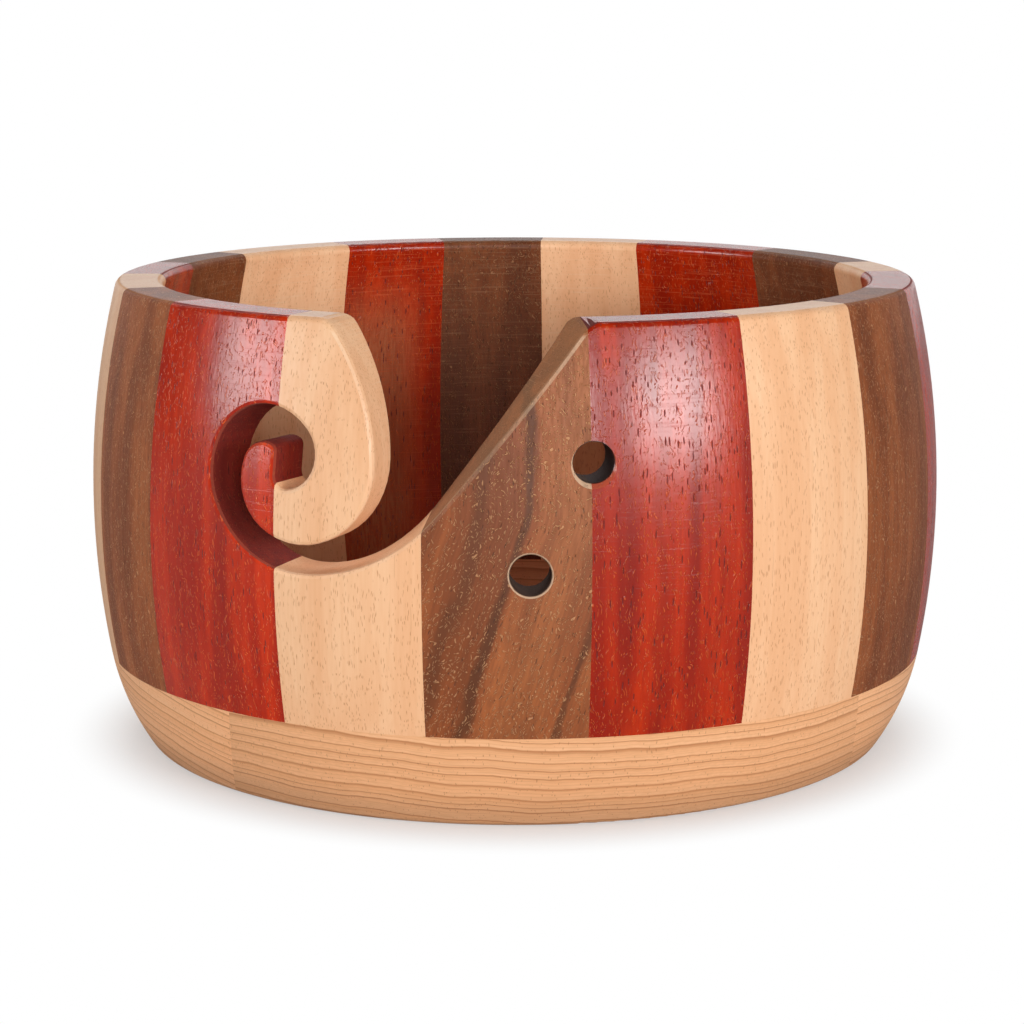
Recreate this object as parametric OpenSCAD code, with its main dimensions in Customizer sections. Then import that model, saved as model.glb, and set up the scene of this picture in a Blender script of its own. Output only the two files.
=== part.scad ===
// Yarn bowl turned from a ring of glued wooden staves on a flat base of edge-glued boards.
// A spiral slot runs down through the wall from the rim, and two holes hold the needles.
// Millimetres. The axis is Z, the underside lies at Z = 0 and the slot faces the front, -Y.
// Directions round the bowl are in degrees from the front, positive towards +X.

/* [Bowl] */
// Diameter at the widest point of the wall
bowl_d = 184; // [160:1:220]
// Height from the underside to the rim
bowl_h = 100; // [92:1:120]
// Height of the widest point of the wall
belly_h = 53; // [48:1:58]
// Radius of the wall's upright curve
barrel_r = 185; // [150:5:260]
// Thickness of the wall
wall = 10; // [8:0.5:13]
// Rounding of the two edges of the rim
rim_round = 1.6; // [0.8:0.2:3]

/* [Base] */
// Thickness of the base boards before they are hollowed
base_h = 20; // [16:1:26]
// Thickness that is left under the bowl's floor
floor_h = 10; // [6:0.5:12]
// Radius of the curve that draws the base in towards the foot
foot_curve_r = 50; // [44:1:60]
// Rounding at the edge of the foot
foot_round = 2.5; // [1:0.5:4]
// Distance of the left seam between the base boards from the axis
left_seam = 57; // [40:1:66]
// Distance of the right seam between the base boards from the axis
right_seam = 70; // [55:1:74]

/* [Slot] */
// Rounding where each side of the slot meets the rim
lip_r = 7; // [5:0.5:9]
// Distance along the wall from the hook's glue line to the start of the tongue's edge
tongue_start = 6; // [5:0.25:7]
// Radius of the long upper edge of the tongue
tongue_top_r = 38; // [35:0.5:41]
// Radius of the tongue's side
tongue_side_r = 16; // [15:0.25:17]
// Radius of the tongue's underside, up the back of the hook
hook_back_r = 11.5; // [10.5:0.25:12.5]
// Radius of the hook's crown
hook_crown_r = 5; // [4:0.25:6]
// Radius of the hook's tip
hook_tip_r = 1.5; // [1.25:0.05:2]
// Length of the straight side of the hook, down to the eye
hook_drop = 4.5; // [3.5:0.25:5.5]
// Radius of the corner between the hook and the eye
eye_corner_r = 2.5; // [2:0.25:3.5]
// Radius of the eye
eye_r = 7; // [6:0.25:7.5]
// Radius of the spiral's outer edge round the back of the hook
spiral_back_r = 13.5; // [12.5:0.25:14.5]
// Radius of the spiral's outer edge under the tongue
spiral_under_r = 23; // [21:0.5:25]
// Radius at the foot of the long slope up to the rim
slope_foot_r = 37; // [34:0.5:40]
// How much nearer the spiral's outer edge comes inside the bowl than outside
spiral_closing = 0.6; // [0:0.1:0.6]
// How much nearer the long slope comes inside the bowl than outside
slope_closing = 1.8; // [0:0.1:1.8]
// Size of the sanded edges round the slot
slot_edge = 0.8; // [0.4:0.1:1]
// Size of the broken edges of the slot inside the bowl
slot_inner_edge = 0.3; // [0.1:0.1:0.8]

/* [Needle holes] */
// Diameter of the needle holes
needle_d = 8; // [5:0.5:10]
// Height of the upper needle hole
upper_hole_h = 74; // [66:1:82]
// Direction of the upper needle hole
upper_hole_a = 9.4; // [8:0.2:11]
// Height of the lower needle hole
lower_hole_h = 52.7; // [40:0.1:58]
// Direction of the lower needle hole
lower_hole_a = 1.8; // [-2:0.2:4]
// Size of the sanded edge of the needle holes
hole_edge = 0.5; // [0.2:0.1:1]

/* [Hidden] */
$fn = 96;
woods = ["walnut", "padauk", "beech"];
wood_colours = ["#7a4d36", "#a3341f", "#e3b284"];
// Width of each stave in degrees, from the front one round to the right, as the maker cut them
stave_widths = [
    20.3, 20.8, 20.1, 20.2, 24, 14.3, 24.2, 24.6, 17.9,
    17.8, 18.4, 23.8, 17.3, 17, 19.5, 18, 22.5, 19.3
];
stave_count = len(stave_widths);
// Direction of the joint at the left of the front stave
first_joint_a = -11.2;
// Stave that carries the hook, and the next one, which carries the tongue
hook_stave = 16;
tongue_stave = 17;

overcut = 1;
belly_r = bowl_d / 2;
arc_axis_r = belly_r - barrel_r;
inner_barrel_r = barrel_r - wall;

function sum_to(list, n) = n <= 0 ? 0 : list[n - 1] + sum_to(list, n - 1);
// Direction of the joint on the left of stave i. The widths are shares of the whole ring.
function joint_a(i) = first_joint_a + 360 * sum_to(stave_widths, i) / sum_to(stave_widths, stave_count);
function stave_name(i) = str("stave_", i < 9 ? "0" : "", i + 1, "_", woods[i % 3]);
// The other leg of a right triangle, from its long side and one leg
function leg(long_side, other) = sqrt(pow(long_side, 2) - pow(other, 2));
function outer_r(z) = arc_axis_r + leg(barrel_r, z - belly_h);
function inner_r(z) = arc_axis_r + leg(inner_barrel_r, z - belly_h);
function last(list) = list[len(list) - 1];
function unit(v) = v / norm(v);
// A direction from 0 to 360 as one from -180 to 180
function signed(a) = a > 180 ? a - 360 : a;
// Degrees round the bowl of a run along the unrolled wall
function turned_by(run) = run / belly_r * 180 / PI;

// Waste outside a rounded corner, from its rounding's centre and the directions of its two sides
module corner_waste(centre, radius, side_a, side_b) {
    reach = 2 * radius;
    difference() {
        polygon([
            centre,
            centre + reach * side_a,
            centre + reach * (side_a + side_b),
            centre + reach * side_b
        ]);
        translate(centre) circle(r = radius);
    }
}

// Wall section: two arcs about one centre, cut off level at the base and at the rim
module wall_section() {
    arc_centre = [arc_axis_r, belly_h];
    round_y = bowl_h - rim_round;
    outer_round = [arc_axis_r + leg(barrel_r - rim_round, round_y - belly_h), round_y];
    inner_round = [arc_axis_r + leg(inner_barrel_r + rim_round, round_y - belly_h), round_y];
    difference() {
        intersection() {
            difference() {
                translate(arc_centre) circle(r = barrel_r);
                translate(arc_centre) circle(r = inner_barrel_r);
            }
            translate([belly_r / 2, base_h]) square([belly_r, bowl_h - base_h]);
        }
        corner_waste(outer_round, rim_round, unit(outer_round - arc_centre), [0, 1]);
        corner_waste(inner_round, rim_round, unit(arc_centre - inner_round), [0, 1]);
    }
}

// Base section: the foot's curve meets the wall's curve smoothly at the joint with the staves,
// and a cove leads from the inside of the wall down to the floor
module base_section() {
    joint_tilt = asin((belly_h - base_h) / barrel_r);
    curve_centre = [outer_r(base_h), base_h] + foot_curve_r * [-cos(joint_tilt), sin(joint_tilt)];
    round_x = curve_centre.x + leg(foot_curve_r - foot_round, curve_centre.y - foot_round);
    foot_corner = [round_x, foot_round];
    inner_tilt = asin((belly_h - base_h) / inner_barrel_r);
    cove_r = (base_h - floor_h) / (1 - sin(inner_tilt));
    cove_x = inner_r(base_h) - cove_r * cos(inner_tilt);
    difference() {
        union() {
            square([curve_centre.x, base_h]);
            intersection() {
                translate(curve_centre) circle(r = foot_curve_r);
                translate([curve_centre.x - overcut, 0]) square([belly_r, base_h]);
            }
        }
        corner_waste(foot_corner, foot_round, unit(foot_corner - curve_centre), [0, -1]);
        translate([0, floor_h]) square([cove_x, base_h]);
        translate([cove_x, floor_h + cove_r]) circle(r = cove_r);
    }
}

// Slot outline, drawn on the wall as if it were unrolled at its widest point: x runs along the wall
// from the glue line between the hook and the tongue, and y up from the underside. The outline is one
// chain of arcs that meet smoothly. Each step is [radius, turn in degrees], with left turns positive,
// and [length, 0] is a straight run.
tongue_steps = [
    [lip_r, -47],
    [tongue_top_r, -42],
    [tongue_side_r, -124],
    [hook_back_r, -77],
    [hook_crown_r, -95],
    [hook_tip_r, -67]
];
spiral_steps = [
    [hook_drop, 0],
    [eye_corner_r, 97],
    [eye_r, 128],
    [spiral_back_r, 165],
    [spiral_under_r, 60],
    [slope_foot_r, 52]
];
// The outline starts and ends this far above the rim, so that it crosses it
rim_crossing = 0.2;
// Longest run and widest turn between two points of an outline
outline_run = 2.4;
outline_turn = 12;

// Where a step ends, from a place [x, y, heading]
function step_end(at, step) = step[1] == 0
    ? [at.x + step[0] * cos(at.z), at.y + step[0] * sin(at.z), at.z]
    : let (radius = sign(step[1]) * step[0], turned = at.z + step[1])
      [at.x + radius * (sin(turned) - sin(at.z)), at.y - radius * (cos(turned) - cos(at.z)), turned];
// The first share of a step: part of its length, or part of its turn
function step_share(step, share) = step[1] == 0 ? [step[0] * share, 0] : [step[0], step[1] * share];
function step_parts(step) = step[1] == 0
    ? ceil(step[0] / (2 * outline_run))
    : ceil(max(abs(step[1]) / outline_turn, step[0] * abs(step[1]) * PI / 180 / outline_run));
// Every place along a chain of steps after its start
function chain(at, steps, i = 0) = i >= len(steps) ? [] :
    let (n = step_parts(steps[i]), end = step_end(at, steps[i]))
    concat(
        [for (k = [1 : n]) step_end(at, step_share(steps[i], k / n))],
        chain(end, steps, i + 1)
    );

tongue_edge = concat(
    [[tongue_start, bowl_h + rim_crossing, 0]],
    chain([tongue_start, bowl_h + rim_crossing, 0], tongue_steps)
);
spiral_edge = chain(last(tongue_edge), spiral_steps);
slope_at = last(spiral_edge);
slope_run = (bowl_h + rim_crossing - slope_at.y - lip_r * (1 - cos(slope_at.z))) / sin(slope_at.z);
slope_edge = chain(slope_at, [[slope_run, 0], [lip_r, -(slope_at.z % 360)]]);
above_rim = 4;
slot_outline = concat(
    tongue_edge,
    spiral_edge,
    slope_edge,
    [[last(slope_edge).x, bowl_h + above_rim, 0], [tongue_start, bowl_h + above_rim, 0]]
);
// Heading after the first steps of the spiral
function spiral_heading(steps) =
    last(tongue_edge).z + sum_to([for (step = spiral_steps) step[1]], steps);
// From 0 to 1 as a heading turns from one direction to another, slowly at both ends
function turned_share(heading, from_a, to_a) =
    let (share = max(0, min(1, (heading - from_a) / (to_a - from_a))))
    share * share * (3 - 2 * share);
// How much nearer each place of the outline comes inside the bowl. The tongue and the hook are cut
// straight through. The closing grows round the eye and at the foot of the slope, and ends at the lip.
slot_closings = concat(
    [for (p = tongue_edge) 0],
    [for (p = spiral_edge)
        spiral_closing * turned_share(p.z, spiral_heading(2), spiral_heading(3))
        + (slope_closing - spiral_closing) * turned_share(p.z, spiral_heading(5), spiral_heading(6))],
    [for (p = slope_edge) slope_closing * turned_share(p.z, last(slope_edge).z, slope_at.z)],
    [0, 0]
);
// Height halfway between the hook's crown and the edge of the slot above it
hook_top = max([for (p = tongue_edge) if (p.x < 0) p.y]);
slot_top = max([for (p = spiral_edge) if (p.x < 0) p.y]);
over_hook = (hook_top + slot_top) / 2;

// A place of the outline moved into the solid by edge, as a point at radius r
function side_x(p, edge) = p.x + edge * sin(p.z);
function side_y(p, edge) = p.y - edge * cos(p.z);
function at_radius(p, edge, from_outer, from_inner) =
    let (z = side_y(p, edge), a = turned_by(side_x(p, edge)))
    let (r = from_inner == undef ? outer_r(z) + from_outer : inner_r(z) + from_inner)
    [r * sin(a), -r * cos(a), z];
function at_plane(p, edge, depth) =
    let (a = turned_by(side_x(p, edge)))
    [depth * tan(a), -depth, side_y(p, edge)];

// Solid between rings of points, one inside the other, closed by the first and the last ring
module ring_solid(rings) {
    n = len(rings[0]);
    count = len(rings);
    polyhedron(
        points = [for (ring = rings) each ring],
        faces = concat(
            [[for (i = [n - 1 : -1 : 0]) i]],
            [for (k = [0 : count - 2], i = [0 : n - 1])
                let (this = k * n, next = this + n, j = (i + 1) % n)
                each [[this + i, this + j, next + j], [this + i, next + j, next + i]]],
            [[for (i = [0 : n - 1]) (count - 1) * n + i]]
        )
    );
}

// The slot's waste. The tongue's side points at the axis, and the other side closes in towards the
// inside. The outer edges are rounded in two facets, and the inner edges are bevelled.
slot_front = 1.4 * belly_r;
slot_back = 0.25 * belly_r;
edge_proud = 0.15;
module slot() {
    facet = slot_edge * (1 - cos(45));
    spread = slot_edge + edge_proud * (slot_edge - facet) / facet;
    inner_spread = slot_inner_edge + edge_proud;
    places = [0 : len(slot_outline) - 1];
    rotate([0, 0, joint_a(tongue_stave)])
    ring_solid([
        [for (p = slot_outline) at_plane(p, spread, slot_front)],
        [for (p = slot_outline) at_radius(p, spread, edge_proud)],
        [for (p = slot_outline) at_radius(p, facet, -facet)],
        [for (p = slot_outline) at_radius(p, 0, -slot_edge)],
        [for (i = places) at_radius(slot_outline[i], -slot_closings[i], undef, slot_inner_edge)],
        [for (i = places) at_radius(slot_outline[i], inner_spread - slot_closings[i], undef, -edge_proud)],
        [for (i = places) at_plane(slot_outline[i], inner_spread - slot_closings[i], slot_back)]
    ]);
}

// Everything inside the slot's own line: the tongue, and the hook at its end. The boundary runs within
// the slot, into_gap from the tongue's edge, and then up through the wall, close_x from the glue line.
into_gap = 2.5;
module inside_slot(close_x) {
    outline = concat(
        [for (p = tongue_edge) [side_x(p, -into_gap), side_y(p, -into_gap), 0]],
        [[close_x, over_hook, 0], [close_x, bowl_h + above_rim, 0]],
        [[tongue_edge[0].x, bowl_h + above_rim, 0]]
    );
    // This outline runs clockwise and the slot's runs the other way, so its back ring comes first
    rotate([0, 0, joint_a(tongue_stave)])
    ring_solid([
        [for (p = outline) at_plane(p, 0, slot_back)],
        [for (p = outline) at_plane(p, 0, slot_front)]
    ]);
}

// A needle hole through the wall, with its outer and inner edges broken
module needle_hole(direction, height) {
    rotate([0, 0, direction]) translate([0, 0, height]) rotate([90, 0, 0]) {
        translate([0, 0, slot_back]) cylinder(d = needle_d, h = slot_front - slot_back);
        translate([0, 0, outer_r(height) - hole_edge])
            cylinder(d1 = needle_d, d2 = needle_d + 4 * hole_edge, h = 2 * hole_edge);
        translate([0, 0, inner_r(height) - hole_edge])
            cylinder(d1 = needle_d + 4 * hole_edge, d2 = needle_d, h = 2 * hole_edge);
    }
}

// Directions of the slot's two ends, and half the angle that a needle hole takes
slot_a = signed(joint_a(tongue_stave));
slot_first_a = slot_a + turned_by(min([for (p = slot_outline) p.x]) - 2 * slot_edge);
slot_last_a = slot_a + turned_by(max([for (p = slot_outline) p.x]) + 2 * slot_edge);
hole_half_a = asin((needle_d / 2 + 2 * hole_edge) / inner_r(bowl_h));
// True where stave i reaches into the directions from a1 to a2
function reaches(i, a1, a2) =
    let (from_a = signed(joint_a(i)))
    from_a < a2 && from_a + joint_a(i + 1) - joint_a(i) > a1;

// One stave: its mitred faces are flat and point at the axis, so the staves close into a ring
module stave_blank(i) {
    rotate([0, 0, joint_a(i) - 90])
        rotate_extrude(angle = joint_a(i + 1) - joint_a(i)) wall_section();
}

module cut_stave(i) {
    difference() {
        stave_blank(i);
        if (reaches(i, slot_first_a, slot_last_a)) slot();
        if (reaches(i, upper_hole_a - hole_half_a, upper_hole_a + hole_half_a))
            needle_hole(upper_hole_a, upper_hole_h);
        if (reaches(i, lower_hole_a - hole_half_a, lower_hole_a + hole_half_a))
            needle_hole(lower_hole_a, lower_hole_h);
    }
}

// How far the boundary between cut pieces stays from the glue line, out of the piece that is kept
clear_of_glue = 3;

module stave(i) {
    color(wood_colours[i % 3])
    if (i == hook_stave) difference() {
        cut_stave(i);
        inside_slot(clear_of_glue);
    } else if (i == tongue_stave) difference() {
        cut_stave(i);
        inside_slot(-clear_of_glue);
    } else cut_stave(i);
}

// The free end of the beech stave beside the slot
module slot_tongue_beech() {
    color(wood_colours[2]) intersection() {
        cut_stave(tongue_stave);
        inside_slot(-clear_of_glue);
    }
}

// The curled end that the slot leaves of the padauk stave, glued to the tongue
module slot_hook_padauk() {
    color(wood_colours[1]) intersection() {
        cut_stave(hook_stave);
        inside_slot(clear_of_glue);
    }
}

// The part of the turned base between two upright planes
module base_board(from_x, to_x) {
    color(wood_colours[2]) intersection() {
        rotate([0, 0, 90]) rotate_extrude() base_section();
        translate([from_x, -bowl_d, -overcut]) cube([to_x - from_x, 2 * bowl_d, base_h + 2 * overcut]);
    }
}

for (i = [0 : stave_count - 1])
    stave(i);
slot_tongue_beech();
slot_hook_padauk();
base_board(-bowl_d, -left_seam);  // base_board_left
base_board(-left_seam, right_seam);  // base_board_middle
base_board(right_seam, bowl_d);  // base_board_right
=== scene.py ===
"""Looks of a yarn bowl turned from glued staves: three woods round the wall, and a base of pale boards.

Everything is in metres, with Z up and the yarn slot towards the front, -Y. Patterns are worked out
in millimetres, in the wood itself, so that the grain runs through the wall and over its edges.
"""

import math

import bpy
import numpy as np
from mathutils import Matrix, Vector

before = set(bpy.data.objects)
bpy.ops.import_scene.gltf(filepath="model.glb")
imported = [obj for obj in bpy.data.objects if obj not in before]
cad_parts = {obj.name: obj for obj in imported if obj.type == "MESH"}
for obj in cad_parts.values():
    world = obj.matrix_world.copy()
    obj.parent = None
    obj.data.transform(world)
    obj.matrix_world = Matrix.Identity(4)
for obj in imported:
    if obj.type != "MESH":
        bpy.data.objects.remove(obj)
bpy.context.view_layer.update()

MM = 0.001
# Scale that turns metres into mm
IN_MM = (1000.0, 1000.0, 1000.0)

# The bowl as packed. Height in metres that the rounding of its rim lies above
RIM_START = 0.098
STAVES = 18
# Places nearer to the axis than this, in mm, are on the inside of the wall
INNER_RADIUS = 83.0
# Direction in degrees from the front, and height in mm, of the axes of the two drilled holes
NEEDLE_HOLES = ((9.4, 74.0), (1.8, 52.7))
HOLE_RADIUS = 4.0
# What the slot cuts loose from a stave keeps that stave's board
SLOT_PIECES = {17: "slot_hook_padauk", 18: "slot_tongue_beech"}

# Run to the left, for each mm down, of grain that bends away
BEND = 0.3
# Height in mm over which a band that stops partway up the wall fades out
BAND_END = 24.0
# How far in mm a board's grain can be moved, and how far in degrees it can lean
FARTHEST_SHIFT = np.array((60.0, 20.0, 200.0))
MOST_LEAN = 2.0
SEED = 7
SAWN_ROUGHNESS = 0.95
# Painted shade: a near-black brown put on the walls of the needle holes, where shade falls
HOLE_PAINTED_SHADE = "#2a130a"

PAPER = (0.55, 0.55, 0.55, 1.0)
WHITE = (1.0, 1.0, 1.0, 1.0)
# Light that the camera sees coming from the floor near the bowl, besides the lamps' light on it
FLOOR_GLOW = 0.38
# Distances in metres from the bowl's axis between which that floor fades into white
SHADOW_FADE = (0.078, 0.1)
# Strength of the studio's own light, near the horizon and overhead, and the share of it that mirrors show
ROOM_LIGHT = 0.12
CEILING_LIGHT = 0.1
MIRRORED_SHARE = 0.35
# Each lamp's azimuth and elevation in degrees, distance, width and height in metres, and power in watts
LAMPS = {
    "left soft box": (-73, 10, 2.4, 1.0, 0.62, 20.5),
    "right soft box": (42, 10, 2.4, 0.9, 0.56, 28),
    "front soft box": (7, 11, 3.0, 1.3, 0.62, 40),
    "back soft box": (180, 42, 2.4, 1.4, 0.7, 18),
}
# Where the lamps are aimed, in metres
LAMPS_AIM = (0, 0, 0.06)
# The camera's lens in mm, place in metres, and angle in degrees from looking straight down
LENS = 99.29
CAMERA_PLACE = (-0.00064, -0.61298, 0.16557)
CAMERA_TILT = 79.076


# ---- Building blocks for the materials ----

def colour(code):
    """A web colour such as "#96603f" as the linear colour that Blender's sockets hold."""
    shares = [int(code[i:i + 2], 16) / 255 for i in (1, 3, 5)]
    return [s / 12.92 if s <= 0.04045 else ((s + 0.055) / 1.055) ** 2.4 for s in shares] + [1.0]


def put(tree, kind, sockets=None, **settings):
    """A new node with these settings. sockets gives each input a value or another node's output."""
    node = tree.nodes.new(kind)
    for name, value in settings.items():
        setattr(node, name, value)
    for name, value in (sockets or {}).items():
        if isinstance(value, bpy.types.NodeSocket):
            tree.links.new(value, node.inputs[name])
        else:
            node.inputs[name].default_value = value
    return node


def maths(tree, operation, *values):
    """The result of a Math node on these values."""
    return put(tree, "ShaderNodeMath", dict(enumerate(values)), operation=operation).outputs[0]


def vectors(tree, operation, *values):
    """The result of a Vector Math node on these values."""
    return put(tree, "ShaderNodeVectorMath", dict(enumerate(values)), operation=operation).outputs[0]


def parts(tree, place):
    """The X, Y and Z of a place or a direction."""
    return put(tree, "ShaderNodeSeparateXYZ", {"Vector": place}).outputs


def joined(tree, **values):
    """A place made of its X, Y and Z."""
    return put(tree, "ShaderNodeCombineXYZ", values).outputs[0]


def length(tree, place):
    """Distance of a place from the origin."""
    return put(tree, "ShaderNodeVectorMath", {0: place}, operation="LENGTH").outputs["Value"]


def mapped(tree, place, **values):
    """A place scaled, then turned, then moved."""
    return put(tree, "ShaderNodeMapping", {"Vector": place, **values}).outputs[0]


def noise(tree, place, detail):
    """Soft noise whose lumps are about 1 across."""
    return put(tree, "ShaderNodeTexNoise", {"Vector": place, "Scale": 1.0, "Detail": detail}).outputs


def fade(tree, value, start, end, low=0.0, high=1.0):
    """A smooth step from low at start to high at end."""
    sockets = {"Value": value, "From Min": start, "From Max": end, "To Min": low, "To Max": high}
    return put(tree, "ShaderNodeMapRange", sockets, interpolation_type="SMOOTHSTEP").outputs[0]


def ramp(tree, value, stops):
    """A colour that goes through a row of (position, web colour) stops as the value rises."""
    node = put(tree, "ShaderNodeValToRGB", {"Fac": value})
    elements = node.color_ramp.elements
    while len(elements) < len(stops):
        elements.new(0.5)
    for element, (position, code) in zip(elements, stops):
        element.position = position
        element.color = colour(code)
    return node.outputs["Color"]


def blend(tree, amount, first, second, kind="MIX"):
    """The second colour mixed into the first, or multiplied by it, as strongly as amount says."""
    node = put(tree, "ShaderNodeMix", data_type="RGBA", blend_type=kind)
    for socket, value in ((node.inputs[0], amount), (node.inputs[6], first), (node.inputs[7], second)):
        if isinstance(value, bpy.types.NodeSocket):
            tree.links.new(value, socket)
        else:
            socket.default_value = value
    return node.outputs[2]


def laid(tree, tint, mask, amount, code):
    """A web colour laid over the wood's own, as strongly as amount where the mask is 1."""
    return blend(tree, maths(tree, "MULTIPLY", mask, amount), tint, colour(code))


def new_group(name, inputs, outputs):
    """A group with these inputs, given with their usual values, and outputs: its tree, then its two ends."""
    tree = bpy.data.node_groups.new(name, "ShaderNodeTree")
    for label, value in inputs.items():
        kind = "NodeSocketVector" if isinstance(value, tuple) else "NodeSocketFloat"
        tree.interface.new_socket(label, in_out="INPUT", socket_type=kind).default_value = value
    for label in outputs:
        tree.interface.new_socket(label, in_out="OUTPUT", socket_type="NodeSocketFloat")
    return tree, tree.nodes.new("NodeGroupInput").outputs, tree.nodes.new("NodeGroupOutput").inputs


def use(tree, group, **values):
    """The outputs of a group placed in a material, which sets its inputs."""
    node = tree.nodes.new("ShaderNodeGroup")
    node.node_tree = group
    for name, value in values.items():
        socket = node.inputs[name]
        if isinstance(value, bpy.types.NodeSocket):
            tree.links.new(value, socket)
        else:
            socket.default_value = value
    return node.outputs


def stretched(tree, place, across, along):
    """A place divided by a pattern's size across the grain and along it."""
    return vectors(tree, "DIVIDE", place, joined(tree, X=across, Y=across, Z=along))


# ---- Effects that several woods share ----

def make_streaks():
    """Long soft streaks: noise drawn out along the grain, with its contrast raised."""
    inputs = {"Place": (0.0, 0.0, 0.0), "Across": 3.0, "Along": 60.0, "Detail": 3.0}
    tree, given, result = new_group("Grain streaks", inputs, ["Streak"])
    place = stretched(tree, given["Place"], given["Across"], given["Along"])
    soft = noise(tree, place, given["Detail"])["Fac"]
    tree.links.new(fade(tree, soft, 0.3, 0.7), result["Streak"])
    return tree


def make_pores():
    """Dashes along the grain, in slim cells of which a share holds a dash.

    Across and Along are a cell's size in mm, and Width is the dash's half width as a part of the cell.
    Noise moves the dashes by up to about half of Waver, in mm, so that they curl, and Bend is its size.
    """
    inputs = {"Place": (0.0, 0.0, 0.0), "Across": 0.4, "Along": 3.0, "Share": 0.5, "Width": 0.25,
              "Waver": 0.5, "Bend": 2.5}
    tree, given, result = new_group("Pores", inputs, ["Pore"])
    swirl = noise(tree, stretched(tree, given["Place"], given["Bend"], given["Bend"]), 0.0)["Color"]
    shift = vectors(tree, "SUBTRACT", swirl, (0.5, 0.5, 0.5))
    shift = put(tree, "ShaderNodeVectorMath", {0: shift, "Scale": given["Waver"]}, operation="SCALE")
    moved_place = vectors(tree, "ADD", given["Place"], shift.outputs[0])
    place = stretched(tree, moved_place, given["Across"], given["Along"])
    cells = put(tree, "ShaderNodeTexVoronoi", {"Vector": place, "Scale": 1.0, "Randomness": 1.0})
    draw = put(tree, "ShaderNodeSeparateColor", {"Color": cells.outputs["Color"]}).outputs["Red"]
    chosen = maths(tree, "LESS_THAN", draw, given["Share"])
    core = maths(tree, "MULTIPLY", given["Width"], 0.55)
    dash = fade(tree, cells.outputs["Distance"], given["Width"], core)
    tree.links.new(maths(tree, "MULTIPLY", chosen, dash), result["Pore"])
    return tree


def make_band():
    """A soft band along the grain, centred some way across the board, with wavering edges.

    Width is its half width. It fades over four fifths of that, out to its edge.
    """
    inputs = {"Place": (0.0, 0.0, 0.0), "Centre": 0.0, "Width": 2.0}
    tree, given, result = new_group("Grain band", inputs, ["Band"])
    soft = noise(tree, stretched(tree, given["Place"], 4.0, 14.0), 3.0)["Fac"]
    waver = maths(tree, "MULTIPLY", maths(tree, "SUBTRACT", soft, 0.5), 5.0)
    across = maths(tree, "SUBTRACT", parts(tree, given["Place"])["X"], given["Centre"])
    away = maths(tree, "ABSOLUTE", maths(tree, "ADD", across, waver))
    core = maths(tree, "MULTIPLY", given["Width"], 0.2)
    tree.links.new(fade(tree, away, given["Width"], core), result["Band"])
    return tree


def make_growth_lines():
    """Yearly growth. Line rises from 0 to 1 through each year, and Year is a number drawn for it.

    Noise makes the years uneven.
    """
    tree, given, result = new_group("Growth lines", {"Depth": 0.0, "Spacing": 2.5}, ["Line", "Year"])
    uneven = put(tree, "ShaderNodeTexNoise", {"W": given["Depth"], "Scale": 0.16, "Detail": 1.0},
                 noise_dimensions="1D").outputs["Fac"]
    drift = maths(tree, "MULTIPLY", uneven, 5.0)
    years = maths(tree, "DIVIDE", maths(tree, "ADD", given["Depth"], drift), given["Spacing"])
    tree.links.new(maths(tree, "FRACT", years), result["Line"])
    number = maths(tree, "FLOOR", years)
    drawn = put(tree, "ShaderNodeTexWhiteNoise", {"W": number}, noise_dimensions="1D")
    tree.links.new(drawn.outputs["Value"], result["Year"])
    return tree


def make_sanding_marks():
    """Fine lines round the bowl from sanding on the lathe: all of them, and those on the wall's inside."""
    tree, given, result = new_group("Sanding marks", {"Place": (0.0, 0.0, 0.0)}, ["Mark", "Inside"])
    mark = fade(tree, noise(tree, stretched(tree, given["Place"], 12.0, 0.22), 1.0)["Fac"], 0.59, 0.72)
    radius = length(tree, vectors(tree, "MULTIPLY", given["Place"], (1.0, 1.0, 0.0)))
    inside = fade(tree, radius, INNER_RADIUS + 1, INNER_RADIUS)
    tree.links.new(mark, result["Mark"])
    tree.links.new(maths(tree, "MULTIPLY", mark, inside), result["Inside"])
    return tree


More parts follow.
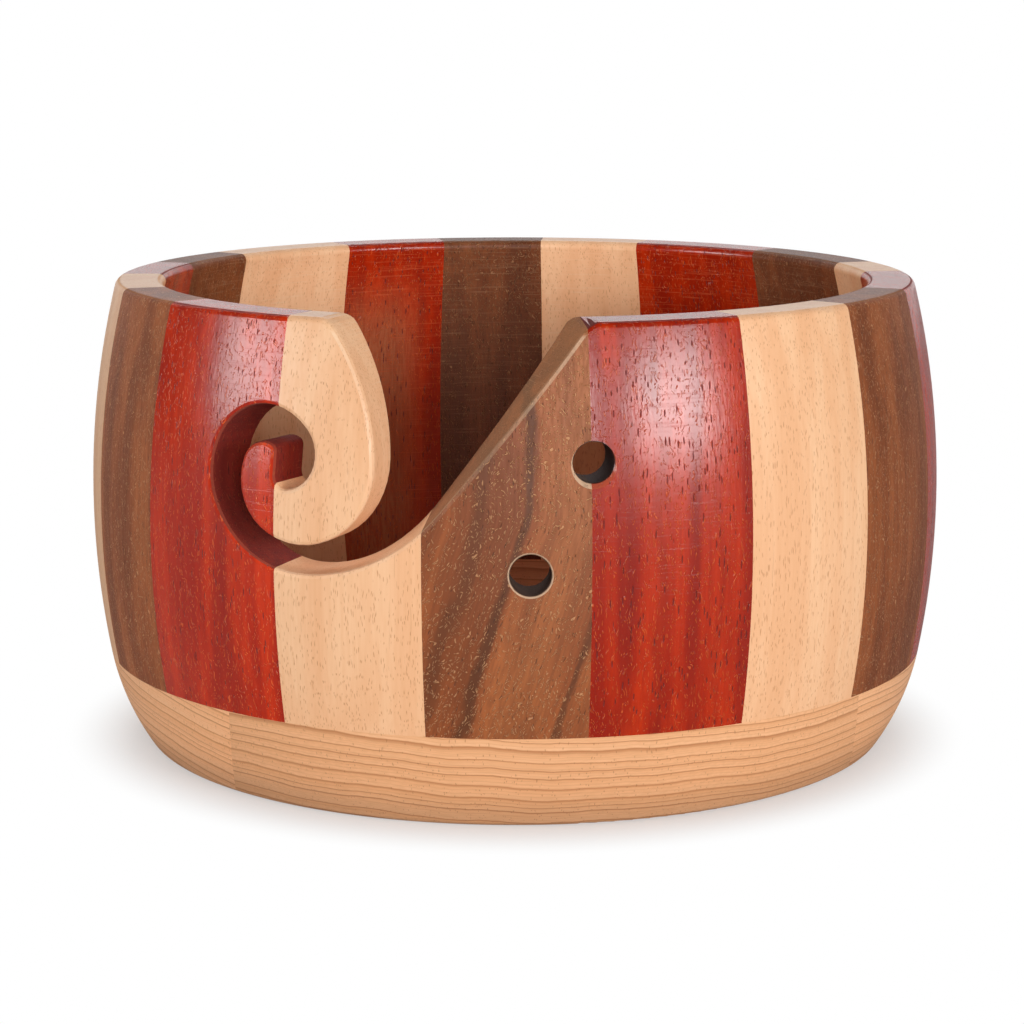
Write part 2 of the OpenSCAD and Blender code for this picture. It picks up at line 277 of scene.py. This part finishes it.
def make_cut_faces():
    """Masks of the faces cut through the wall. Place is in metres.

    The turned faces look towards or away from the axis: |n . r| is near 1 there, with r level. Sawn is
    1 on the faces that the saw left and 0 on turned faces and the rim. The edge mask is 1 on the narrow
    sanded edges between the two, below the rim; the woods paint a highlight there. The hole mask is 1 on
    the walls of the needle holes, at places no more than a little farther from a hole's axis than its
    radius, and the woods paint shade there. The axes go on through the back wall, so the hole mask is
    kept to the front.
    """
    inputs = {"Place": (0.0, 0.0, 0.0), "Normal": (0.0, 0.0, 1.0)}
    tree, given, result = new_group("Cut faces", inputs, ["Sawn", "Edge highlight", "Hole shade"])
    level = vectors(tree, "NORMALIZE", vectors(tree, "MULTIPLY", given["Place"], (1.0, 1.0, 0.0)))
    toward = put(tree, "ShaderNodeVectorMath", {0: given["Normal"], 1: level}, operation="DOT_PRODUCT")
    turned = maths(tree, "ABSOLUTE", toward.outputs["Value"])
    up = parts(tree, given["Normal"])["Z"]
    at = parts(tree, given["Place"])
    below = fade(tree, at["Z"], RIM_START, RIM_START - MM)
    # Above RIM_START, a face that looks straight up is the rim
    off_rim = maths(tree, "MAXIMUM", below, fade(tree, up, 0.98, 0.9))
    tree.links.new(maths(tree, "MULTIPLY", fade(tree, turned, 0.75, 0.3), off_rim), result["Sawn"])
    # Mask of the narrow sanded edges, where the woods paint a highlight
    slant = maths(tree, "MULTIPLY", fade(tree, turned, 0.3, 0.5), fade(tree, turned, 0.93, 0.82))
    tree.links.new(maths(tree, "MULTIPLY", slant, below), result["Edge highlight"])
    # Mask of the needle holes' walls, where the woods paint shade
    painted_hole_shade = 0.0
    for direction, height in NEEDLE_HOLES:
        swung = mapped(tree, given["Place"], Scale=IN_MM, Rotation=(0, 0, math.radians(-direction)))
        off_axis = vectors(tree, "SUBTRACT", swung, (0.0, 0.0, height))
        away = length(tree, vectors(tree, "MULTIPLY", off_axis, (1.0, 0.0, 1.0)))
        painted_hole_shade = maths(tree, "MAXIMUM", painted_hole_shade, fade(tree, away, HOLE_RADIUS + 0.2, HOLE_RADIUS + 0.05))
    tree.links.new(maths(tree, "MULTIPLY", painted_hole_shade, fade(tree, at["Y"], 0.0, -0.01)), result["Hole shade"])
    return tree


streaks = make_streaks()
pores = make_pores()
band = make_band()
growth_lines = make_growth_lines()
sanding_marks = make_sanding_marks()
cut_faces = make_cut_faces()


def wood_material(name):
    """A new material, its node tree, its shader and the place in the bowl, in metres."""
    material = bpy.data.materials.new(name)
    material.use_nodes = True
    tree = material.node_tree
    tree.nodes.clear()
    shader = put(tree, "ShaderNodeBsdfPrincipled")
    put(tree, "ShaderNodeOutputMaterial", {"Surface": shader.outputs[0]})
    place = put(tree, "ShaderNodeTexCoord").outputs["Object"]
    return material, tree, shader, place


def board_place(tree, place, turn, board):
    """Places in a stave in mm, x across it, y towards the axis and z up, and its grain's own places.

    The grain leans. Below the board's bend, if it has one, it runs away to the left as well.
    """
    upright = mapped(tree, place, Scale=IN_MM, Rotation=(0, 0, math.radians(-turn)))
    grain = mapped(tree, upright, Rotation=(0, math.radians(board["lean"]), 0))
    if board["bend"]:
        below = maths(tree, "SUBTRACT", board["bend"], parts(tree, upright)["Z"])
        slid = maths(tree, "MULTIPLY", maths(tree, "MULTIPLY", below, BEND), fade(tree, below, -4.0, 6.0))
        grain = vectors(tree, "ADD", grain, joined(tree, X=slid))
    return upright, grain


def moved(tree, grain, board):
    """The grain's places, moved to another part of the same wood, so that no two boards look alike."""
    return vectors(tree, "ADD", grain, board["shift"])


def banded(tree, grain, board, tint, usual):
    """The board's own bands, laid over its colour, in the wood's usual band colour or in their own."""
    height = parts(tree, grain)["Z"]
    for centre, width, strength, *other in board["bands"]:
        code, top = other or (usual, None)
        mask = use(tree, band, Place=grain, Centre=centre, Width=width)["Band"]
        amount = maths(tree, "MULTIPLY", mask, strength)
        if top:
            amount = maths(tree, "MULTIPLY", amount, fade(tree, height, top, top - BAND_END))
        tint = blend(tree, amount, tint, colour(code))
    return tint


def cuts(tree, place):
    """The masks of the faces that the saw and the drill left, for this place in metres."""
    normal = put(tree, "ShaderNodeNewGeometry").outputs["Normal"]
    return use(tree, cut_faces, Place=place, Normal=normal)


def rough(tree, cut, polished, mask, more):
    """A wood's polished roughness, with more where the mask is 1. Sawn faces were never polished."""
    turned = maths(tree, "ADD", maths(tree, "MULTIPLY", mask, more), polished)
    return fade(tree, cut["Sawn"], 0.0, 1.0, turned, SAWN_ROUGHNESS)


def with_tone_and_painted_light(tree, tint, board):
    """The wood's colour, made lighter or darker by the board's tone; on the left staves 16 and 17 that is
    painted light, on the back walnut staves painted shade.
    """
    tone_and_painted_light = board["tone_and_painted_light"]
    return blend(tree, 1.0, tint, (tone_and_painted_light, tone_and_painted_light, tone_and_painted_light, 1.0), "MULTIPLY")


def surface(tree, shader, tint, roughness, heights):
    """Joins a colour, a roughness and a row of (height, depth in mm) pairs to a wood's shader."""
    tree.links.new(tint, shader.inputs["Base Color"])
    tree.links.new(roughness, shader.inputs["Roughness"])
    relief = None
    for height, depth in heights:
        part = maths(tree, "MULTIPLY", height, depth)
        relief = part if relief is None else maths(tree, "ADD", relief, part)
    bump = put(tree, "ShaderNodeBump", {"Height": relief, "Distance": MM, "Strength": 1.0})
    tree.links.new(bump.outputs["Normal"], shader.inputs["Normal"])


# ---- The woods ----

def walnut(name, turn, board):
    """Brown walnut: soft streaks, the board's bands, short raised curls all over with a painted golden
    highlight, and a few dark pores.
    """
    material, tree, shader, place = wood_material(name)
    upright, own = board_place(tree, place, turn, board)
    grain = moved(tree, own, board)
    wide = use(tree, streaks, Place=grain, Across=6.0, Along=150.0, Detail=3.0)["Streak"]
    fine = use(tree, streaks, Place=grain, Across=0.5, Along=14.0, Detail=2.0)["Streak"]
    tint = ramp(tree, wide, [(0.1, "#7a3f1f"), (0.5, "#894824"), (0.9, "#9a552c")])
    tint = banded(tree, own, board, tint, "#4e2c18")
    tint = laid(tree, tint, fine, 0.35, "#5c2f16")
    curl = use(tree, pores, Place=grain, Across=0.36, Along=2.2, Share=0.9, Width=0.38,
               Waver=2.4, Bend=1.7)["Pore"]
    # Painted highlight: the raised curls are coloured golden, as if they caught the light
    tint = laid(tree, tint, curl, 0.5, "#d09a6c")
    pore = use(tree, pores, Place=grain, Across=0.42, Along=3.4, Share=0.35, Width=0.26,
               Waver=0.8, Bend=2.0)["Pore"]
    tint = laid(tree, tint, pore, 0.6, "#3a2015")
    marks = use(tree, sanding_marks, Place=upright)
    tint = laid(tree, tint, marks["Inside"], 0.45, "#b0805c")
    cut = cuts(tree, place)
    tint = laid(tree, tint, cut["Sawn"], 0.4, "#b08058")
    # Painted highlight along the sanded edges
    tint = laid(tree, tint, cut["Edge highlight"], 0.6, "#e8c8a8")
    # Painted shade on the walls of the needle holes
    tint = laid(tree, tint, cut["Hole shade"], 0.9, HOLE_PAINTED_SHADE)
    tint = with_tone_and_painted_light(tree, tint, board)
    relief = [(fine, 0.01), (pore, -0.08), (curl, 0.12), (marks["Mark"], -0.005)]
    surface(tree, shader, tint, rough(tree, cut, 0.48, fine, 0.1), relief)
    shader.inputs["Specular IOR Level"].default_value = 0.35
    return material


def padauk(name, turn, board):
    """Red padauk: streaks, the board's bands, dashes with a painted orange highlight, and short dark pores
    that break the gloss.
    """
    material, tree, shader, place = wood_material(name)
    upright, own = board_place(tree, place, turn, board)
    grain = moved(tree, own, board)
    wide = use(tree, streaks, Place=grain, Across=4.5, Along=180.0, Detail=3.0)["Streak"]
    fine = use(tree, streaks, Place=grain, Across=0.5, Along=22.0, Detail=2.0)["Streak"]
    tint = ramp(tree, wide, [(0.05, "#941c08"), (0.45, "#a82405"), (0.9, "#be2f06")])
    tint = banded(tree, own, board, tint, "#5e1510")
    tint = laid(tree, tint, fine, 0.4, "#981c04")
    light = use(tree, pores, Place=grain, Across=0.34, Along=3.2, Share=0.85, Width=0.35,
                Waver=1.8, Bend=2.2)["Pore"]
    # Painted highlight: orange on the raised dashes, as if their edges caught the light
    tint = laid(tree, tint, light, 0.5, "#e66c34")
    pore = use(tree, pores, Place=grain, Across=0.6, Along=4.2, Share=0.45, Width=0.28,
               Waver=0.3, Bend=2.5)["Pore"]
    tint = laid(tree, tint, pore, 0.85, "#6a0c06")
    marks = use(tree, sanding_marks, Place=upright)
    tint = laid(tree, tint, marks["Inside"], 0.55, "#cc5c38")
    cut = cuts(tree, place)
    tint = laid(tree, tint, cut["Sawn"], 0.7, "#460b04")
    # Painted highlight along the sanded edges
    tint = laid(tree, tint, cut["Edge highlight"], 0.3, "#e88868")
    # Painted shade on the walls of the needle holes
    tint = laid(tree, tint, cut["Hole shade"], 0.9, HOLE_PAINTED_SHADE)
    tint = with_tone_and_painted_light(tree, tint, board)
    relief = [(fine, 0.008), (pore, -0.11), (light, 0.08), (marks["Mark"], -0.006)]
    surface(tree, shader, tint, rough(tree, cut, 0.23, pore, 0.5), relief)
    return material


def beech(name, turn, board):
    """Pale beech: faint streaks, small brown ray flecks and a few long thin lines."""
    material, tree, shader, place = wood_material(name)
    upright, own = board_place(tree, place, turn, board)
    grain = moved(tree, own, board)
    wide = use(tree, streaks, Place=grain, Across=6.0, Along=160.0, Detail=3.0)["Streak"]
    fine = use(tree, streaks, Place=grain, Across=0.6, Along=18.0, Detail=2.0)["Streak"]
    tint = ramp(tree, wide, [(0.1, "#f2b98b"), (0.5, "#f6c093"), (0.9, "#f9c79b")])
    tint = laid(tree, tint, fine, 0.22, "#e6a672")
    ray = use(tree, pores, Place=grain, Across=0.3, Along=3.0, Share=0.8, Width=0.3,
              Waver=0.5, Bend=2.0)["Pore"]
    tint = laid(tree, tint, ray, 0.65, "#bf7a45")
    line = use(tree, pores, Place=grain, Across=0.5, Along=45.0, Share=0.35, Width=0.2,
               Waver=0.9, Bend=9.0)["Pore"]
    tint = laid(tree, tint, line, 0.25, "#b57a48")
    marks = use(tree, sanding_marks, Place=upright)
    tint = laid(tree, tint, marks["Inside"], 0.2, "#f8d8b4")
    cut = cuts(tree, place)
    # Painted highlight along the sanded edges
    tint = laid(tree, tint, cut["Edge highlight"], 0.5, "#ffe2c2")
    tint = with_tone_and_painted_light(tree, tint, board)
    relief = [(fine, 0.006), (ray, -0.035), (line, -0.02), (marks["Mark"], -0.004)]
    surface(tree, shader, tint, rough(tree, cut, 0.36, fine, 0.08), relief)
    return material


def base_beech(name, tilt, lift, tone_and_painted_light, painted_foot_shade):
    """Beech of the base, whose growth lines lie nearly level: each year darkens to a thin brown line.

    The level faces are cut nearly along the years, so the lines spread there, and are made paler. The
    boards are darker towards the foot, as painted shade where they meet the floor.
    """
    material, tree, shader, place = wood_material(name)
    grain = mapped(tree, place, Scale=IN_MM, Rotation=(0, math.radians(tilt), 0), Location=(0, 0, lift))
    place_mm = vectors(tree, "MULTIPLY", place, IN_MM)
    wander = noise(tree, vectors(tree, "DIVIDE", grain, (38.0, 170.0, 60.0)), 2.0)["Fac"]
    ripple = noise(tree, vectors(tree, "DIVIDE", grain, (4.0, 16.0, 3.0)), 2.0)["Fac"]
    depth = maths(tree, "ADD", parts(tree, grain)["Z"], maths(tree, "MULTIPLY", wander, 5.0))
    depth = maths(tree, "ADD", depth, maths(tree, "MULTIPLY", ripple, 0.5))
    growth = use(tree, growth_lines, Depth=depth, Spacing=1.9)
    year = [(0.0, "#f2ba8c"), (0.76, "#ebb080"), (0.93, "#b4764a"), (1.0, "#efb789")]
    tint = ramp(tree, growth["Line"], year)
    tint = laid(tree, tint, growth["Year"], 0.3, "#dd9c66")
    finer = use(tree, growth_lines, Depth=maths(tree, "ADD", depth, 3.0), Spacing=0.7)["Line"]
    tint = blend(tree, fade(tree, finer, 0.6, 0.95, 0.0, 0.22), tint, colour("#b87848"))
    normal = put(tree, "ShaderNodeNewGeometry").outputs["Normal"]
    level = maths(tree, "ABSOLUTE", parts(tree, normal)["Z"])
    tint = blend(tree, fade(tree, level, 0.8, 0.98, 0.0, 0.7), tint, colour("#e6ac7c"))
    laid_down = mapped(tree, grain, Rotation=(0, math.radians(90), 0))
    fine = use(tree, streaks, Place=laid_down, Across=0.5, Along=9.0, Detail=2.0)["Streak"]
    tint = laid(tree, tint, fine, 0.2, "#c89060")
    ray = use(tree, pores, Place=place_mm, Across=0.42, Along=2.2, Share=0.4, Width=0.28,
              Waver=0.8, Bend=2.5)["Pore"]
    tint = laid(tree, tint, ray, 0.5, "#9a6234")
    # Painted shade: darker towards the foot, where the boards meet the floor
    shade = fade(tree, parts(tree, place_mm)["Z"], 1.0, 9.5, painted_foot_shade, tone_and_painted_light)
    tint = blend(tree, 1.0, tint, joined(tree, X=shade, Y=shade, Z=shade), "MULTIPLY")
    roughness = maths(tree, "ADD", maths(tree, "MULTIPLY", fine, 0.08), 0.42)
    surface(tree, shader, tint, roughness, [(fine, 0.008), (growth["Line"], -0.004), (ray, -0.03)])
    return material


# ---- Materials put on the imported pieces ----

def outward(node):
    """Direction of a stave's middle, in degrees from the front: halfway between its glued faces."""
    mesh = node.data
    points = np.empty(len(mesh.vertices) * 3)
    mesh.vertices.foreach_get("co", points)
    points = points.reshape(-1, 3)
    middle = math.atan2(points[:, 0].mean(), -points[:, 1].mean())
    away = (np.arctan2(points[:, 0], -points[:, 1]) - middle + math.pi) % (2 * math.pi) - math.pi
    return math.degrees(middle + (away.min() + away.max()) / 2)


def dress(node, material):
    """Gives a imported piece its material."""
    node.data.materials.clear()
    node.data.materials.append(material)


WOODS = (walnut, padauk, beech)
# What single boards have of their own, by stave: lean of the grain in degrees, height in mm below which
# it bends away to the left, tone, and bands. The tone of the back walnut staves 7, 10 and 13 is painted
# shade, and that of the left staves 16 and 17 painted light. A band is its centre in mm across from the
# board's middle, its half width in mm and its strength, and then either the wood's usual band colour or a
# colour of its own with the height in mm that it ends at, if it does
BOARDS = {
    1: dict(lean=0, bend=64, tone_and_painted_light=1.17, bands=((4.0, 1.9, 0.8), (-4.5, 2.2, 0.5), (23.0, 1.2, 0.7),
                                              (13.0, 8.0, 0.15, "#bd7c48", None))),
    2: dict(lean=0, bands=((-9.5, 1.6, 0.2), (-3.0, 1.5, 0.28), (4.5, 1.6, 0.2), (9.0, 1.2, 0.2))),
    4: dict(tone_and_painted_light=1.04),
    # Painted shade: the back walnut staves 7, 10 and 13 are darkened for the shade inside the bowl
    7: dict(tone_and_painted_light=0.8),
    10: dict(tone_and_painted_light=0.7),
    11: dict(lean=0, bands=((4.5, 16.0, 0.9, "#b46c48", 96.0),)),
    # Painted shade inside the bowl, as for staves 7 and 10
    13: dict(tone_and_painted_light=0.8),
    # Painted light: the left staves 16 and 17 are lightened, as if that side were lit more
    16: dict(tone_and_painted_light=1.35),
    17: dict(tone_and_painted_light=1.28, lean=0, bands=((5.0, 6.0, 0.25), (-9.0, 1.2, 0.2))),
}
# The base's boards: tilt of the growth lines in degrees, their lift in mm, tone, raised on the side boards
# as painted light, and the painted shade at the foot
BASE_BOARDS = {
    "left": (-14, 3.0, 1.22, 0.86),
    "middle": (-1, 0.0, 1.08, 0.78),
    "right": (-4, 11.0, 1.16, 0.84),
}


def dress_bowl():
    """Each stave gets a board of its own, and so does each part of the base."""
    draws = np.random.default_rng(SEED)
    for number in range(1, STAVES + 1):
        wood = WOODS[(number - 1) % len(WOODS)]
        label = f"stave_{number:02d}_{wood.__name__}"
        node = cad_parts[label]
        shift = draws.uniform(-FARTHEST_SHIFT, FARTHEST_SHIFT).tolist()
        lean = float(draws.uniform(-MOST_LEAN, MOST_LEAN))
        board = dict(shift=shift, lean=lean, bend=None, bands=(), tone_and_painted_light=1.0)
        board.update(BOARDS.get(number, {}))
        material = wood(label, outward(node), board)
        dress(node, material)
        if number in SLOT_PIECES:
            dress(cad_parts[SLOT_PIECES[number]], material)
    for side, values in BASE_BOARDS.items():
        dress(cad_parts[f"base_board_{side}"], base_beech(f"base_{side}", *values))


# ---- Stage, light and camera ----

def make_floor():
    """A grey floor that is white to the camera, save for near the bowl, where its shadow shows."""
    half = 1.5
    corners = [(-half, -half, 0), (half, -half, 0), (half, half, 0), (-half, half, 0)]
    mesh = bpy.data.meshes.new("floor")
    mesh.from_pydata(corners, [], [(0, 1, 2, 3)])
    floor = bpy.data.objects.new("floor", mesh)
    bpy.context.collection.objects.link(floor)
    material = bpy.data.materials.new("floor")
    material.use_nodes = True
    tree = material.node_tree
    tree.nodes.clear()
    paper = put(tree, "ShaderNodeBsdfDiffuse", {"Color": PAPER})
    glow = put(tree, "ShaderNodeEmission", {"Strength": FLOOR_GLOW})
    lit = put(tree, "ShaderNodeAddShader", {0: paper.outputs[0], 1: glow.outputs[0]})
    away = length(tree, put(tree, "ShaderNodeTexCoord").outputs["Object"])
    white = put(tree, "ShaderNodeEmission", {"Strength": 1.0})
    far = fade(tree, away, *SHADOW_FADE)
    seen = put(tree, "ShaderNodeMixShader", {0: far, 1: lit.outputs[0], 2: white.outputs[0]})
    camera_ray = put(tree, "ShaderNodeLightPath").outputs["Is Camera Ray"]
    both = put(tree, "ShaderNodeMixShader", {0: camera_ray, 1: paper.outputs[0], 2: seen.outputs[0]})
    put(tree, "ShaderNodeOutputMaterial", {"Surface": both.outputs[0]})
    mesh.materials.append(material)


def make_backdrop():
    """A backdrop that is white to the camera, and in reflections of what is behind the bowl.

    Otherwise it is a dim studio, a little brighter near the horizon, that reflections show dimmer still.
    """
    world = bpy.data.worlds.new("studio")
    bpy.context.scene.world = world
    world.use_nodes = True
    tree = world.node_tree
    tree.nodes.clear()
    rays = put(tree, "ShaderNodeLightPath").outputs
    toward = parts(tree, put(tree, "ShaderNodeTexCoord").outputs["Generated"])
    behind = fade(tree, toward["Y"], 0.3, 0.9)
    mirror = rays["Is Glossy Ray"]
    shown = maths(tree, "MAXIMUM", rays["Is Camera Ray"], maths(tree, "MULTIPLY", mirror, behind))
    room = fade(tree, toward["Z"], 0.15, 0.6, ROOM_LIGHT, CEILING_LIGHT)
    dim = maths(tree, "MULTIPLY", room, fade(tree, mirror, 0.0, 1.0, 1.0, MIRRORED_SHARE))
    strength = maths(tree, "MAXIMUM", dim, shown)
    light = put(tree, "ShaderNodeBackground", {"Color": WHITE, "Strength": strength})
    put(tree, "ShaderNodeOutputWorld", {"Surface": light.outputs[0]})


def soft_lamp(name, azimuth, elevation, distance, width, height, power):
    """A soft box aimed at the bowl. Its azimuth is measured from the front, positive to the right."""
    data = bpy.data.lights.new(name, "AREA")
    data.shape = "RECTANGLE"
    data.size = width
    data.size_y = height
    data.energy = power
    lamp = bpy.data.objects.new(name, data)
    bpy.context.collection.objects.link(lamp)
    side, up = math.radians(azimuth), math.radians(elevation)
    away = Vector((math.sin(side) * math.cos(up), -math.cos(side) * math.cos(up), math.sin(up)))
    lamp.location = Vector(LAMPS_AIM) + away * distance
    lamp.rotation_euler = away.to_track_quat("Z", "Y").to_euler()


def make_camera():
    """The camera that gives the photograph's view: a long lens, a little above the rim."""
    data = bpy.data.cameras.new("camera")
    data.sensor_width = 36.0
    data.lens = LENS
    data.clip_start = 0.01
    camera = bpy.data.objects.new("camera", data)
    bpy.context.collection.objects.link(camera)
    camera.location = CAMERA_PLACE
    camera.rotation_euler = (math.radians(CAMERA_TILT), 0, 0)
    bpy.context.scene.camera = camera


dress_bowl()
make_floor()
make_backdrop()
for lamp_name, settings in LAMPS.items():
    soft_lamp(lamp_name, *settings)
make_camera()
bpy.context.scene.view_settings.view_transform = "Standard"
